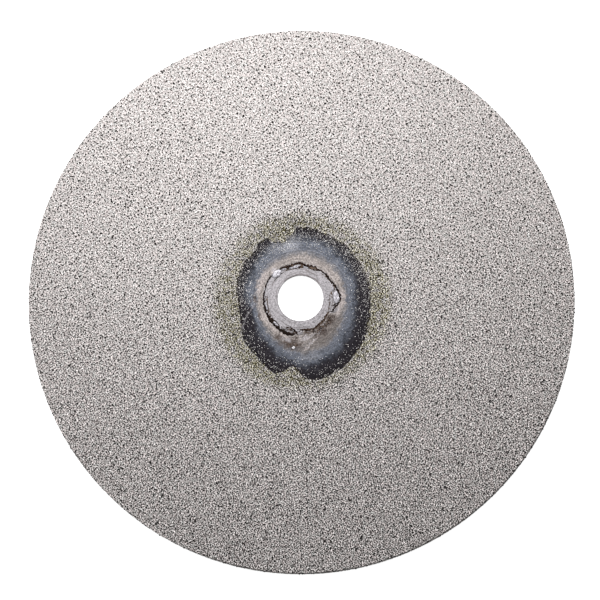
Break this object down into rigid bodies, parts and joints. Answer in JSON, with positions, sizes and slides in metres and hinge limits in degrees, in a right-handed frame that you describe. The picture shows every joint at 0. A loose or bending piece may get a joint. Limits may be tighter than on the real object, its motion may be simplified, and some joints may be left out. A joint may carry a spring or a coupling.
{
  "type": "diamond grinding disc",
  "caption": "Thin flat steel disc with a plain arbor hole and one face plated with coarse diamond grit up to and over the rim.",
  "frame": {"origin": "centre of the arbor hole, on the back face of the blank", "axes": "+Z along the arbor axis out of the grit face, +X and +Y in the plane of the disc"},
  "size_m": [0.1524, 0.1524, 0.0015],
  "materials": {
    "bare_steel": "turned, fine concentric marks",
    "tinted_nickel": "satin with beige, blue-grey and charcoal tints",
    "bond_nickel": "matt electroplate",
    "diamond_grit": "coarse sparkling grit",
    "loose_diamond": "single bright grains",
    "plating_scale": "rough dark crust",
    "bright_nickel": "bright rounded nodules"
  },
  "bodies": {
    "root": {"steel_core": "bare_steel", "nickel_strike": "tinted_nickel", "nickel_bond": "bond_nickel", "face_grit": "diamond_grit", "rim_grit": "diamond_grit", "stray_grit": "loose_diamond", "plating_crust": "plating_scale", "plating_nodules": "bright_nickel"}
  },
  "joints": []
}
